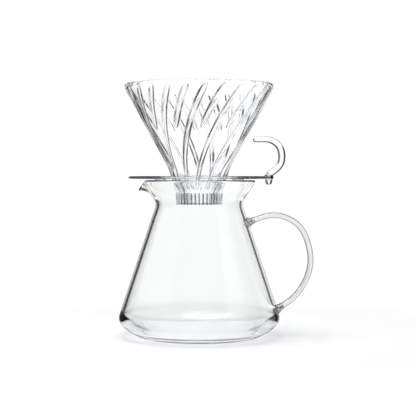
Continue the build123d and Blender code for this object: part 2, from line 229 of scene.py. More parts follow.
def combine(piece, tool, operation):
    """Applies a boolean to the piece and deletes the tool."""
    modifier = piece.modifiers.new("combine", "BOOLEAN")
    modifier.operation = operation
    modifier.object = tool
    modifier.solver = "EXACT"
    graph = bpy.context.evaluated_depsgraph_get()
    mesh = bpy.data.meshes.new_from_object(piece.evaluated_get(graph))
    piece.modifiers.clear()
    old_mesh = piece.data
    piece.data = mesh
    bpy.data.meshes.remove(old_mesh)
    tool_mesh = tool.data
    bpy.data.objects.remove(tool)
    bpy.data.meshes.remove(tool_mesh)
    mesh.polygons.foreach_set("use_smooth", [True] * len(mesh.polygons))


def mark_sharp(piece, degrees):
    """Keeps corners crisp where faces meet at more than this angle."""
    work = bmesh.new()
    work.from_mesh(piece.data)
    limit = math.radians(degrees)
    for edge in work.edges:
        if len(edge.link_faces) == 2 and edge.calc_face_angle(0) > limit:
            edge.smooth = False
    work.to_mesh(piece.data)
    work.free()
    piece.data.update()


def hand_over(piece, material, rides, replaces):
    """Gives the piece its only material and registers it with the frame."""
    piece.data.materials.clear()
    piece.data.materials.append(material)
    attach(piece, rides)
    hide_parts(replaces)


# ------------------------------------------------------------------ shader building
HORIZONTAL = (1, 1, 0)                  # mask that drops the Z part of a vector


class Shader:
    """A node tree under construction. Every input takes a value or another node's output."""

    def __init__(self, owner):
        owner.use_nodes = True
        self.tree = owner.node_tree
        self.tree.nodes.clear()

    def add(self, kind, inputs=None, **settings):
        node = self.tree.nodes.new("ShaderNode" + kind)
        for name, value in settings.items():
            setattr(node, name, value)
        for key, value in (inputs or {}).items():
            socket = node.inputs[key]
            if isinstance(value, bpy.types.NodeSocket):
                self.tree.links.new(value, socket)
            elif socket.type == "RGBA":
                socket.default_value = (*value, 1)
            else:
                socket.default_value = value
        return node

    def object_coords(self):
        return self.add("TexCoord").outputs["Object"]

    def split(self, vector):
        return self.add("SeparateXYZ", {0: vector}).outputs

    def math(self, operation, *values):
        return self.add("Math", dict(enumerate(values)), operation=operation).outputs[0]

    def vector(self, operation, *values):
        node = self.add("VectorMath", dict(enumerate(values)), operation=operation)
        gives_number = operation in ("LENGTH", "DOT_PRODUCT")
        return node.outputs["Value" if gives_number else "Vector"]

    def ramp(self, value, between, to=(0.0, 1.0), interpolation="SMOOTHSTEP"):
        """Maps the range 'between' onto the range 'to'."""
        inputs = {"Value": value, "From Min": between[0], "From Max": between[1],
                  "To Min": to[0], "To Max": to[1]}
        return self.add("MapRange", inputs, interpolation_type=interpolation).outputs["Result"]

    def linear(self, value, between, to=(0.0, 1.0)):
        return self.ramp(value, between, to, interpolation="LINEAR")

    def noise(self, coords, scale, detail=2.0, roughness=0.5, distortion=0.0):
        inputs = {"Vector": coords, "Scale": scale, "Detail": detail, "Roughness": roughness,
                  "Distortion": distortion}
        return self.add("TexNoise", inputs).outputs["Fac"]

    def colour_ramp(self, value, low, high, high_position=1.0):
        node = self.add("ValToRGB", {"Fac": value})
        start, end = node.color_ramp.elements
        start.color = (*low, 1)
        end.position = high_position
        end.color = (*high, 1)
        return node.outputs["Color"]

    def facing(self, blend=0.5):
        """0 where the surface faces the eye, 1 at grazing angles."""
        return self.add("LayerWeight", {"Blend": blend}).outputs["Facing"]

    def mix_colour(self, factor, first, second):
        inputs = {"Factor": factor, "A": first, "B": second}
        return self.add("Mix", inputs, data_type="RGBA").outputs["Result"]

    def mix_number(self, factor, first, second):
        inputs = {"Factor": factor, "A": first, "B": second}
        return self.add("Mix", inputs, data_type="FLOAT").outputs[0]

    def mix_shader(self, factor, first, second):
        return self.add("MixShader", {0: factor, 1: first, 2: second}).outputs["Shader"]

    def transparent(self, colour):
        return self.add("BsdfTransparent", {"Color": colour}).outputs["BSDF"]

    def principled(self, inputs):
        return self.add("BsdfPrincipled", inputs).outputs["BSDF"]

    def with_shadow(self, body, shadow_colour):
        """Shadow rays pass through with a tint, so that shadows of clear parts stay light."""
        shadow = self.transparent(shadow_colour)
        is_shadow = self.add("LightPath").outputs["Is Shadow Ray"]
        return self.mix_shader(is_shadow, body, shadow)


def new_material(name):
    material = bpy.data.materials.new(name)
    return material, Shader(material)


# ------------------------------------------------------------------ clear glass
def clear_surface(shader, coords, colour, ior, wave, wave_scale, smear, roughness=0.0,
                  stretch=(1, 1, 1)):
    """Refraction with a wavy surface (wave: bump strength) and patchy handling smears (smear: added
    roughness)."""
    stretched = shader.add("Mapping", {"Vector": coords, "Scale": stretch}).outputs["Vector"]
    waves = shader.noise(stretched, scale=wave_scale, detail=1.5, roughness=0.45)
    bump = shader.add("Bump", {"Height": waves, "Strength": wave, "Distance": 0.001})
    marks = shader.noise(coords, scale=55.0, detail=5.0)
    patchy = shader.linear(marks, between=(0.52, 0.80), to=(roughness, roughness + smear))
    return shader.principled({
        "Base Color": colour, "IOR": ior, "Transmission Weight": 1.0,
        "Normal": bump.outputs["Normal"], "Roughness": patchy})


def painted_edge_shade(shader, middle, rim, between):
    """Painted shade: colour that darkens towards grazing angles, standing in for the dark edges that
    refraction gives clear glass.
    """
    return shader.mix_colour(shader.ramp(shader.facing(), between), middle, rim)


def finish_clear(shader, body, absorb, density):
    """Adds light shadows, deeper at grazing angles, and colour from depth through the body."""
    shade = shader.colour_ramp(shader.facing(blend=0.35), low=(0.96, 0.965, 0.97),
                               high=(0.42, 0.43, 0.45), high_position=0.95)
    surface = shader.with_shadow(body, shade)
    volume = shader.add("VolumeAbsorption", {"Color": absorb, "Density": density})
    shader.add("OutputMaterial", {"Surface": surface, "Volume": volume.outputs["Volume"]})


def server_glass():
    material, shader = new_material("server_glass")
    body = clear_surface(shader, shader.object_coords(), colour=(0.99, 0.995, 0.995), ior=1.474,
                         wave=0.05, wave_scale=26.0, smear=0.012, stretch=(1, 1, 0.35))
    # painted shade: the last sliver of the outline is dark, a dark see-through layer mixed in at grazing
    # angles
    outline = shader.ramp(shader.facing(), between=(0.83, 0.93), to=(0.0, 0.80))
    body = shader.mix_shader(outline, body, shader.transparent((0.20, 0.205, 0.215)))
    finish_clear(shader, body, absorb=(0.55, 0.66, 0.66), density=6.0)
    return material


def strap_glass():
    material, shader = new_material("strap_glass")
    # painted shade: the colour darkens towards the strap's edges
    colour = painted_edge_shade(shader, middle=(0.985, 0.99, 0.99), rim=(0.24, 0.245, 0.25),
                      between=(0.27, 0.52))
    body = clear_surface(shader, shader.object_coords(), colour=colour, ior=1.474,
                         wave=0.03, wave_scale=60.0, smear=0.01)
    finish_clear(shader, body, absorb=(0.50, 0.52, 0.52), density=50.0)
    return material


def weld_glass():
    material, shader = new_material("weld_glass")
    coords = shader.object_coords()
    # painted shade: the colour darkens towards the weld's edges
    colour = painted_edge_shade(shader, middle=(0.96, 0.965, 0.95), rim=(0.22, 0.22, 0.18),
                      between=(0.30, 0.66))
    # cords and fold lines left where the glass was fused
    cords = shader.noise(coords, scale=420.0, distortion=1.2)
    colour = shader.mix_colour(shader.ramp(cords, between=(0.50, 0.62)), colour, (0.10, 0.10, 0.08))
    body = clear_surface(shader, coords, colour=colour, ior=1.474,
                         wave=1.0, wave_scale=330.0, smear=0.01)
    finish_clear(shader, body, absorb=(0.40, 0.42, 0.34), density=60.0)
    return material


def cone_painted_edge_shade(shader, coords):
    """How much painted shade shows: dark colour at grazing angles, fading downward, in upright streaks,
    standing in for the cone's dark refracted edges.
    """
    grazing = shader.ramp(shader.facing(), between=(0.50, 0.82))
    upper = shader.ramp(shader.split(coords)["Z"], between=(0.118, 0.134), to=(0.12, 1.0))
    share = shader.math("MULTIPLY", upper, grazing)
    # noise over direction and a slowed-down height runs in long streaks
    direction = shader.vector("NORMALIZE", shader.vector("MULTIPLY", coords, HORIZONTAL))
    slow_height = shader.vector("MULTIPLY", coords, (0, 0, 3.2))
    streaks = shader.noise(shader.vector("ADD", direction, slow_height), scale=13.0, detail=1.0)
    return shader.math("MULTIPLY", share, shader.ramp(streaks, between=(0.50, 0.60)))


def cone_painted_flank_shade(shader, coords):
    """How much painted shade shows: dark lines on the sides of the ribs, unevenly along them, standing in
    for the lines the ribs draw by refraction.
    """
    outward = shader.vector("MULTIPLY", coords, HORIZONTAL)
    sideways = shader.vector("NORMALIZE", shader.vector("CROSS_PRODUCT", (0, 0, 1), outward))
    normal = shader.add("NewGeometry").outputs["Normal"]
    turned = shader.math("ABSOLUTE", shader.vector("DOT_PRODUCT", sideways, normal))
    flank = shader.ramp(turned, between=(0.13, 0.36))
    uneven = shader.linear(shader.noise(coords, scale=70.0, detail=1.0),
                           between=(0.38, 0.56), to=(0.28, 1.0))
    # not where the side of the rib is turned to the eye
    averted = shader.ramp(shader.facing(), between=(0.02, 0.15))
    return shader.math("MULTIPLY", flank, shader.math("MULTIPLY", uneven, averted))


def cone_glass():
    material, shader = new_material("cone_glass")
    coords = shader.object_coords()
    # painted shade: dark streaks towards the cone's edges, then dark lines along the rib flanks
    colour = shader.mix_colour(cone_painted_edge_shade(shader, coords), (0.995, 0.997, 1.0),
                               (0.16, 0.165, 0.18))
    colour = shader.mix_colour(cone_painted_flank_shade(shader, coords), colour, (0.02, 0.022, 0.030))
    # low down, where neck, collar and ring lie against one another, the surfaces nearly vanish
    height = shader.split(shader.object_coords())["Z"]
    ior = shader.ramp(height, between=(0.116, 0.128), to=(1.07, 1.215))
    body = clear_surface(shader, coords, colour=colour, ior=ior,
                         wave=0.004, wave_scale=45.0, smear=0.003)
    finish_clear(shader, body, absorb=(0.55, 0.62, 0.72), density=6.0)
    return material


def hook_plastic():
    material, shader = new_material("clear_plastic_hook")
    # painted shade: the colour darkens towards the hook's edges
    colour = painted_edge_shade(shader, middle=(0.985, 0.988, 0.995), rim=(0.30, 0.31, 0.33),
                      between=(0.27, 0.54))
    body = clear_surface(shader, shader.object_coords(), colour=colour, ior=1.47,
                         wave=0.012, wave_scale=70.0, smear=0.02, roughness=0.002)
    finish_clear(shader, body, absorb=(0.50, 0.53, 0.58), density=14.0)
    return material


# ------------------------------------------------------------------ clear moulded plastic
def edge_on_painted_shade(shader, flow, between, weigh_steepness):
    """Painted shade mask: 0..1 where a wall stands edge-on to the eye seen from above, broken up by flow
    marks. With weigh_steepness, sloping faces count less than upright ones."""
    geometry = shader.add("NewGeometry").outputs
    flat_normal = shader.vector("MULTIPLY", geometry["Normal"], HORIZONTAL)
    steepness = shader.vector("LENGTH", flat_normal) if weigh_steepness else 1.0
    across = shader.vector("NORMALIZE", flat_normal)
    view = shader.vector("NORMALIZE", shader.vector("MULTIPLY", geometry["Incoming"], HORIZONTAL))
    towards = shader.math("ABSOLUTE", shader.vector("DOT_PRODUCT", across, view))
    wall = shader.math("MULTIPLY", shader.math("SUBTRACT", 1.0, towards), steepness)
    broken = shader.linear(flow, between=(0.3, 0.7), to=(0.65, 1.0))
    return shader.math("MULTIPLY", shader.ramp(wall, between), broken)


def radius_of(shader, coords):
    return shader.vector("LENGTH", shader.vector("MULTIPLY", coords, HORIZONTAL))


def flow_marks(shader, coords):
    return shader.noise(coords, scale=160.0, detail=3.0)


def plastic_surface(shader, flow, colour, ior, through, extra):
    """Part of the light (through + extra) goes straight through, the rest refracts."""
    roughness = shader.linear(flow, between=(0.5, 0.8), to=(0.004, 0.02))
    refracting = shader.principled({"Base Color": colour, "IOR": ior, "Transmission Weight": 1.0,
                                    "Roughness": roughness})
    share = shader.math("ADD", extra, through)
    return shader.mix_shader(share, refracting, shader.transparent(colour))


def finish_plastic(shader, body):
    surface = shader.with_shadow(body, (0.90, 0.905, 0.915))
    shader.add("OutputMaterial", {"Surface": surface})


def plate_plastic():
    """Painted shade: walls edge-on to the eye go dark and bluish near the plate's rim; the middle is
    clearer.
    """
    painted_rim_shade_colour = (0.05, 0.055, 0.10)
    through_rim, through_middle = 0.40, 0.93
    material, shader = new_material("clear_plastic")
    coords = shader.object_coords()
    flow = flow_marks(shader, coords)
    radius = radius_of(shader, coords)
    # painted shade on walls edge-on to the eye, near the rim only
    painted_shade = edge_on_painted_shade(shader, flow, between=(0.06, 0.26), weigh_steepness=False)
    near_rim = shader.ramp(radius, between=(0.0522, 0.0529), to=(0.03, 1.0))
    painted_shade = shader.math("MULTIPLY", painted_shade, near_rim)
    colour = shader.mix_colour(painted_shade, (0.988, 0.990, 0.994), painted_rim_shade_colour)
    clearer = shader.ramp(radius, between=(0.022, 0.040), to=(through_middle - through_rim, 0.0))
    body = plastic_surface(shader, flow, colour, ior=1.46, through=through_rim, extra=clearer)
    # painted shade: a dark opaque surface mixed in at the rim, standing in for light trapped in the rim of
    # the plate that never reaches the eye
    painted_trapped_shade = shader.principled({"Base Color": [0.35 * part for part in painted_rim_shade_colour],
                                 "Roughness": 0.25, "Specular IOR Level": 0.2})
    body = shader.mix_shader(shader.math("MULTIPLY", painted_shade, 0.9), body, painted_trapped_shade)
    finish_plastic(shader, body)
    return material


def ring_plastic():
    """Nearly invisible body with painted shade: a dark upright stripe at each knurl, and dark walls where
    they stand edge-on to the eye.
    """
    stripe_width = 0.15                 # share of the spacing between two knurls
    stripe_radius = 0.0170              # stripes show only outside this radius
    material, shader = new_material("clear_plastic_ring")
    coords = shader.object_coords()
    flow = flow_marks(shader, coords)
    painted_shade = edge_on_painted_shade(shader, flow, between=(0.8, 1.0), weigh_steepness=True)
    place = shader.split(coords)
    azimuth = shader.math("ARCTAN2", place["Y"], place["X"])
    phase = shader.math("FRACT", shader.math("MULTIPLY", azimuth, KNURL_COUNT / (2 * math.pi)))
    off_middle = shader.math("ABSOLUTE", shader.math("SUBTRACT", phase, 0.5))
    # painted shade: a dark upright stripe at each knurl, on top of the modelled knurls
    painted_knurl_shade = shader.ramp(off_middle, between=(0.5 - stripe_width, 0.5 - stripe_width * 0.45))
    outside = shader.linear(radius_of(shader, coords),
                            between=(stripe_radius, stripe_radius + 0.0002))
    painted_shade = shader.math("MAXIMUM", shader.math("MULTIPLY", painted_knurl_shade, outside), painted_shade)
    colour = shader.mix_colour(painted_shade, (0.998, 0.998, 0.999), (0.10, 0.105, 0.11))
    body = plastic_surface(shader, flow, colour, ior=1.12, through=0.95, extra=0.0)
    finish_plastic(shader, body)
    return material


def silicone():
    material, shader = new_material("silicone")
    grain = shader.noise(shader.object_coords(), scale=900.0)
    bump = shader.add("Bump", {"Height": grain, "Strength": 0.2, "Distance": 0.0002})
    colour = shader.colour_ramp(grain, low=(0.70, 0.71, 0.70), high=(0.86, 0.87, 0.86))
    body = shader.principled({
        "Base Color": colour, "Normal": bump.outputs["Normal"], "Roughness": 0.45,
        "Subsurface Weight": 0.3, "Subsurface Radius": (0.002, 0.002, 0.002),
        "Transmission Weight": 0.45, "Sheen Weight": 0.15})
    shader.add("OutputMaterial", {"Surface": body})
    return material


# ------------------------------------------------------------------ server
FLOOR_THICKNESS, FOOT_RADIUS = 3.0, 45.0
POLE_RADIUS = 2.0                       # the innermost loop of the bottom
FLOOR_EDGE_RADIUS = 43.0                # where the flat floor inside starts to rise
STRAIGHT_TOP_Z = 90.0                   # where the straight wall ends
INSIDE_HEEL_Z = 18.6
INSIDE_HEEL_FOOT = (56.5, 10.7)
NECK_RADIUS, NECK_Z = 34.0, 103.0
# neck to rim, away from the spout
RIM_OUTSIDE = [(NECK_RADIUS, NECK_Z), (34.9, 106.2), (38.6, 112.0), (43.7, 120.2)]
RIM_INSIDE = [(41.5, 120.7), (36.3, 112.5), (32.4, 106.6), (NECK_RADIUS - WALL, NECK_Z)]
RIM_MIDDLE = (42.8, RIM_TOP_Z - 0.06)
# neck to lip, in the middle of the spout
SPOUT_OUTSIDE = [(NECK_RADIUS, NECK_Z), (36.1, 107.7), (40.1, 112.0), (46.4, 113.1)]
SPOUT_INSIDE = [(46.2, 115.0), (38.6, 114.2), (33.8, 108.7), (NECK_RADIUS - WALL, NECK_Z)]
SPOUT_MIDDLE = (47.2, 114.05)
SPOUT_AZIMUTH, SPOUT_HALF = 180.0, 18.0     # degrees
SERVER_STEPS = 288


def server_outside(z):
    return HEEL_RADIUS - WALL_SLOPE * (z - HEEL_Z)


def server_inside(z):
    return server_outside(z) - WALL * 1.05


def mouth_outline(spout):
    """Outline from the neck over the rim and back; spout is 0 at the plain rim, 1 mid-spout."""
    def blend(rim, lip):
        return np.array(rim, float) * (1 - spout) + np.array(lip, float) * spout

    outside = spline(blend(RIM_OUTSIDE, SPOUT_OUTSIDE), 22, start=(0, 1))
    inside = spline(blend(RIM_INSIDE, SPOUT_INSIDE), 22, end=(0, -1))
    top = arc(outside[-1], blend(RIM_MIDDLE, SPOUT_MIDDLE), inside[0], 9)
    return join(outside, top, inside)


def build_server(material):
    outside_top = (server_outside(STRAIGHT_TOP_Z), STRAIGHT_TOP_Z)
    inside_top = (server_inside(STRAIGHT_TOP_Z), STRAIGHT_TOP_Z)
    inside_heel = (server_inside(INSIDE_HEEL_Z), INSIDE_HEEL_Z)
    outside = join(
        line((POLE_RADIUS, 0), (FOOT_RADIUS, 0), 10),
        arc((FOOT_RADIUS, 0), (46.9, 0.35), (48.6, 1.2), 5),
        spline([(48.6, 1.2), (55.2, 4.7), HEEL_ARC[0]], 14, start=(1.0, 0.5), end=(0.69, 0.724)),
        arc(*HEEL_ARC, 12),
        line((server_outside(HEEL_Z), HEEL_Z), outside_top, 34),
        spline([outside_top, (35.0, 98.0), (NECK_RADIUS, NECK_Z)], 14,
               start=(-WALL_SLOPE, 1), end=(0, 1)),
    )
    inside = join(
        spline([(NECK_RADIUS - WALL, NECK_Z), (32.55, 98.0), inside_top], 14,
               start=(0, -1), end=(WALL_SLOPE, -1)),
        line(inside_top, inside_heel, 34),
        arc(inside_heel, (58.75, 14.0), INSIDE_HEEL_FOOT, 12),
        spline([INSIDE_HEEL_FOOT, (50.8, 6.1), (FLOOR_EDGE_RADIUS, FLOOR_THICKNESS)], 14,
               start=(-0.70, -0.66), end=(-1, 0)),
        line((FLOOR_EDGE_RADIUS, FLOOR_THICKNESS), (POLE_RADIUS, FLOOR_THICKNESS), 10),
    )
    azimuth = full_turn(SERVER_STEPS)
    outlines = []
    for degrees in np.degrees(azimuth):
        off = (degrees - SPOUT_AZIMUTH + 180) % 360 - 180
        spout = math.cos(math.pi / 2 * off / SPOUT_HALF) ** 2 if abs(off) < SPOUT_HALF else 0.0
        outlines.append(np.concatenate([outside[:-1], mouth_outline(spout), inside[1:]]))
    rows = np.stack(outlines, 1)
    server = grid_object("server_body_glass", revolve(rows[:, :, 0], rows[:, :, 1], azimuth),
                         closed=False)
    hand_over(server, material, "server", "server_body")


# ------------------------------------------------------------------ server handle and its welds
# middle line of the strap as (x, z), from its upper end round to its lower end
STRAP_LINE = [(43.2, 90.6), (50.6, 93.2), (60.0, 94.2), (69.2, 91.8), (77.9, 85.8), (83.5, 76.5),
              (86.1, 67.1), (86.9, 58.5), (84.7, 47.5), (80.2, 38.3), (74.4, 30.8), (69.8, 26.8),
              (65.6, 24.0)]
STRAP_HALF_WIDTH, STRAP_HALF_THICKNESS = 4.5, 2.35
STRAP_STEPS = 64
WELD_SWELL = 1.9                        # how much thicker a weld is where it meets the wall
WELD_TRIM_TOP = 99.0
SKIN_GAP = 0.02                         # between a weld and the server wall


def build_strap(path, material):
    strap = tube("server_handle_glass", path, STRAP_HALF_WIDTH, STRAP_HALF_THICKNESS, STRAP_STEPS)
    mark_sharp(strap, 60)
    hand_over(strap, material, "server", "server_handle")


def weld(name, end, before, length):
    """Gather of glass running on from the strap's end into the wall, swelling as it goes."""
    direction = unit(end - before)
    start = end - direction * 0.02
    t = np.linspace(0, 1, 26)
    path = start[None, :] + direction[None, :] * (t * length)[:, None]
    swell = np.interp(t, [0, 0.35, 0.70, 1.0], [0, 0.30, 0.80, 1.0])
    swell = swell * swell * (3 - 2 * swell) * 0.5 + swell * 0.5
    return tube(name, path, STRAP_HALF_WIDTH + WELD_SWELL * 0.7 * swell,
                STRAP_HALF_THICKNESS + WELD_SWELL * swell, STRAP_STEPS)


def server_filler():
    """Solid that fills the server out to its outside wall."""
    heel = arc(*HEEL_ARC, 12) + np.array([SKIN_GAP, 0])
    top = (server_outside(WELD_TRIM_TOP) + SKIN_GAP, WELD_TRIM_TOP)
    outline = join(line((0.5, HEEL_BOTTOM_Z), heel[0]), heel, line(heel[-1], top),
                   line(top, (0.5, WELD_TRIM_TOP)))
    return lathe("filler", outline, SERVER_STEPS)


def build_welds(path, material):
    upper = weld("handle_upper_weld_glass", path[0], path[1], length=7.8)
    lower = weld("handle_lower_weld_glass", path[-1], path[-2], length=9.0)
    for piece, replaced in ((upper, "handle_upper_weld"), (lower, "handle_lower_weld")):
        combine(piece, server_filler(), "DIFFERENCE")
        mark_sharp(piece, 50)
        hand_over(piece, material, "server", replaced)


# ------------------------------------------------------------------ cone
TIP_Z = 102.9
SHOULDER = (57.6, 191.4)                # top of the straight outside wall
BRIM_OUTSIDE, BRIM_INSIDE = (57.9, 195.0), (55.5, 195.1)
STEP_TOP = (54.0, 190.6)                # upper end of the thinner wall inside
# inside wall below the arched step, and the thinner wall above it: heights and radii
THICK_WALL = ([137.2, 180.0], [24.8, 48.35])
THIN_WALL = ([137.2, 180.6, 190.6], [24.8 + 0.22, 48.35 + 0.35, 54.0])
CONE_STEPS = 864
RIB_SPACING = 30.0                      # degrees between two ribs of one kind
RIB_PHASE, RIB_PHASE_Z = -90.0 - 27.4, 133.0    # azimuth of a long rib at this height
RIB_TWIST = 0.545                       # degrees per mm of height
RIB_SINK = 0.45                         # how far the rib's centre lies inside the wall
# (z, share of full size)
LONG_RIB = np.array([(113.6, 0.0), (114.5, 0.75), (119.0, 0.9), (124.0, 1.0), (188.0, 0.97),
                     (191.6, 0.80), (192.6, 0.55), (193.2, 0.0)])
SHORT_RIB = np.array([(160.3, 0.0), (161.0, 0.45), (162.6, 0.72), (165.6, 0.93), (171.0, 1.0),
                      (188.0, 0.97), (191.6, 0.80), (192.6, 0.55), (193.2, 0.0)])


def rib_azimuth(z):
    return RIB_PHASE + RIB_TWIST * (z - RIB_PHASE_Z)


def rib_height(radius, z, degrees, sizes, shift):
    """How far elliptical ridges stand off the inside wall."""
    size = np.interp(z, sizes[:, 0], sizes[:, 1], left=0, right=0)
    if size <= 0.02:
        return np.zeros_like(degrees)
    half_spacing = RIB_SPACING / 2
    off = (degrees - (rib_azimuth(z) + shift) + half_spacing) % RIB_SPACING - half_spacing
    across = np.radians(off) * radius
    half_width = (1.25 + 0.0225 * (z - 113.0)) * size
    full_height = 1.75 * size
    ridge = full_height * np.sqrt(np.clip(1 - (across / half_width) ** 2, 0, None)) - RIB_SINK
    # soft maximum with the wall rounds the foot of the ridge
    return 0.5 * (ridge + np.sqrt(ridge * ridge + 0.24**2)) - 0.030


def cone_inside_radius(radius, z, degrees):
    """Inside radius round one row, with the ribs taken off it."""
    half_spacing = RIB_SPACING / 2
    height = np.maximum(rib_height(radius, z, degrees, LONG_RIB, 0.0),
                        rib_height(radius, z, degrees, SHORT_RIB, half_spacing))
    # a light blur round the azimuth keeps the ridge foot from being a knife edge
    height = (np.roll(height, 1) + 2 * height + np.roll(height, -1)) / 4
    if 174.0 < z < 184.0:
        # the wall is a little thicker below an arched edge between neighbouring ribs
        between = ((degrees - rib_azimuth(z)) % half_spacing) / half_spacing * 2 - 1
        edge_z = 180.4 - 2.2 * between**2
        thick = np.interp(z, *THICK_WALL)
        thin = np.interp(z, *THIN_WALL)
        radius = thick + (thin - thick) * np.clip((z - edge_z) / 0.5 + 0.5, 0, 1)
    return radius - height


def flare_outside(count):
    return spline(FLARE_OUTSIDE, count, start=(0, 1), end=CONE_SLOPE)


def build_cone(material):
    outside = join(
        line((11.6, TIP_Z), (13.4, TIP_Z), 3),
        arc((13.4, TIP_Z), (13.82, TIP_Z + 0.18), (14.0, TIP_Z + 0.6), 4),
        line((14.0, TIP_Z + 0.6), FLARE_OUTSIDE[0], 6),
        flare_outside(40),
        line(FLARE_OUTSIDE[-1], SHOULDER, 50),
        spline([SHOULDER, (58.0, 193.2), BRIM_OUTSIDE], 10, start=CONE_SLOPE, end=(-0.12, 1.0)),
        arc(BRIM_OUTSIDE, (56.75, 196.0), BRIM_INSIDE, 10),
    )
    inside = join(
        line(BRIM_INSIDE, STEP_TOP, 10),
        line(STEP_TOP, (48.8, 180.9), 20),
        line((48.8, 180.9), (47.0, 177.6), 22),
        line((47.0, 177.6), FLARE_INSIDE[-1], 76),
        spline(FLARE_INSIDE[::-1], 44, start=(-0.5502, -1.0), end=(0, -1.0)),
        line(FLARE_INSIDE[0], (11.0, TIP_Z + 0.6), 6),
        arc((11.0, TIP_Z + 0.6), (11.18, TIP_Z + 0.18), (11.6, TIP_Z), 4),
    )[1:-1]                             # both ends are already on the outside outline
    azimuth = full_turn(CONE_STEPS)
    degrees = np.degrees(azimuth)
    ribbed = np.stack([cone_inside_radius(radius, z, degrees) * np.ones(CONE_STEPS)
                       for radius, z in inside])
    grid = np.concatenate([revolve(outside[:, :1], outside[:, 1:], azimuth),
                           revolve(ribbed, inside[:, 1:], azimuth)])
    cone = grid_object("dripper_cone_glass", grid, closed=True)
    hand_over(cone, material, "cone", "dripper_cone")


# ------------------------------------------------------------------ base plate with collar
SEAT_CLEARANCE = 0.03                   # the seat overlaps the cone's outside by this much
COLLAR_RADIUS, COLLAR_BOTTOM, COLLAR_TOP = 15.2, 104.6, 111.4
PLATE_STEPS = 480
PLATE_EDGE_START = PLATE_RADIUS - 2.6   # where the rounded rim begins
EAR_RADIUS = STEM_RADIUS + 1.3
PAD_CENTRE_RADIUS, PAD_HALF_LENGTH, PAD_HALF_WIDTH = 42.4, 2.9, 1.6


def thread_tooth(z, azimuth, start_z):
    """0..1 height of a single-start right-hand thread ridge."""
    turn = azimuth / (2 * math.pi) * THREAD_PITCH
    lap = np.round((z - start_z - turn) / THREAD_PITCH)
    off = np.abs(z - start_z - turn - lap * THREAD_PITCH)
    along = turn + lap * THREAD_PITCH
    live = (along >= 0) & (along <= THREAD_LENGTH)
    return np.where(live, np.clip((0.44 - off) / 0.22, 0, 1), 0.0)


def plate_body():
    """Plate with a funnel-shaped underside and a threaded collar, hollowed to the cone's shape."""
    mid_z = (PLATE_BOTTOM + PLATE_TOP) / 2
    edge_x, edge = PLATE_EDGE_START, PLATE_RADIUS - 0.55
    seat = flare_outside(200) - np.array([SEAT_CLEARANCE, 0])
    seat = seat[seat[:, 1] <= PLATE_TOP + 0.8][::-1]
    bore = FLARE_OUTSIDE[0][0] - SEAT_CLEARANCE
    thread_z = np.linspace(COLLAR_BOTTOM, COLLAR_TOP, THREAD_ROWS)
    outline = join(
        np.stack([np.full(THREAD_ROWS, COLLAR_RADIUS), thread_z], 1),
        line((COLLAR_RADIUS, COLLAR_TOP), (18.0, COLLAR_TOP), 4),
        arc((18.0, COLLAR_TOP), (18.25, 111.5), (18.35, 111.75), 4),
        line((18.35, 111.75), (21.4, PLATE_BOTTOM - 0.6), 14),
        arc((21.4, PLATE_BOTTOM - 0.6), (21.7, PLATE_BOTTOM - 0.15), (22.3, PLATE_BOTTOM), 5),
        line((22.3, PLATE_BOTTOM), (edge_x, PLATE_BOTTOM), 24),
        spline([(edge_x, PLATE_BOTTOM), (edge, PLATE_BOTTOM + 0.42), (PLATE_RADIUS, mid_z),
                (edge, PLATE_TOP - 0.42), (edge_x, PLATE_TOP)], 25, start=(1, 0), end=(-1, 0)),
        line((edge_x, PLATE_TOP), (24.6, PLATE_TOP), 24),
        arc((24.6, PLATE_TOP), (24.1, PLATE_TOP + 0.25), (23.9, PLATE_TOP + 0.7), 5),
        line((23.9, PLATE_TOP + 0.7), (seat[0][0] + 0.15, PLATE_TOP + 0.8), 3),
        seat,
        line((bore, NECK_TOP_Z), (bore, 104.7), 8),
    )
    azimuth = full_turn(PLATE_STEPS)
    radius = np.repeat(outline[:, :1], PLATE_STEPS, 1)
    tooth = thread_tooth(outline[:THREAD_ROWS, 1:], azimuth, THREAD_START)
    radius[:THREAD_ROWS] += THREAD_DEPTH * tooth
    return grid_object("base_plate_plastic", revolve(radius, outline[:, 1:], azimuth), closed=True)


def plate_ear():
    """Round boss at the plate's edge that carries the hooked handle."""
    flat = STEM_RADIUS + 0.95
    outline = join(
        line((0.4, PLATE_BOTTOM), (flat, PLATE_BOTTOM), 6),
        arc((flat, PLATE_BOTTOM), (EAR_RADIUS, PLATE_BOTTOM + 0.35),
            (EAR_RADIUS, PLATE_BOTTOM + 0.8), 5),
        line((EAR_RADIUS, PLATE_BOTTOM + 0.8), (EAR_RADIUS, PLATE_TOP + 0.1), 3),
        arc((EAR_RADIUS, PLATE_TOP + 0.1), (STEM_RADIUS + 1.18, PLATE_TOP + 0.38),
            (STEM_RADIUS + 0.9, SEAT_Z), 5),
        line((STEM_RADIUS + 0.9, SEAT_Z), (0.4, SEAT_Z), 6))
    return lathe("ear", outline, 64, centre_x=STEM_X - 0.2)


